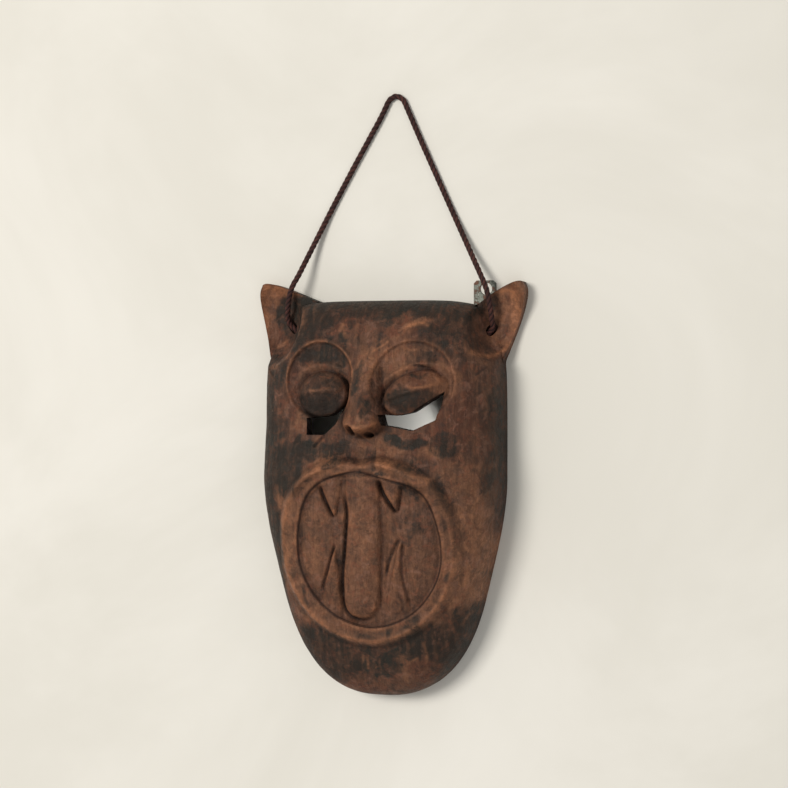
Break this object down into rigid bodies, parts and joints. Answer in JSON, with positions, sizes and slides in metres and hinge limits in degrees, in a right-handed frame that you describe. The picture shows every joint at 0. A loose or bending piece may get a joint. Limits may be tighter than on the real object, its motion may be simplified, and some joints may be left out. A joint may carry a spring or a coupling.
{
  "type": "carved wooden demon mask",
  "caption": "Hollow carved wooden face mask with bulging eyes, open fanged mouth, hanging tongue, horn-like ears, a metal hanging plate and a looped cord.",
  "frame": {"origin": "middle of the mask's outline, on the plane of its flat back rim", "axes": "+X across the face, +Y from the chin up to the ears, +Z out of the face"},
  "size_m": [0.2178, 0.4777, 0.0882],
  "materials": {
    "wood": "worn dark stain on carved wood",
    "plate_steel": "rusty sheet metal",
    "cord_fibre": "twisted dark red fibre"
  },
  "bodies": {
    "root": {"mask": "wood", "hanger_plate": "plate_steel", "hanging_cord": "cord_fibre", "cord_knot_left": "cord_fibre", "cord_knot_right": "cord_fibre"}
  },
  "joints": []
}
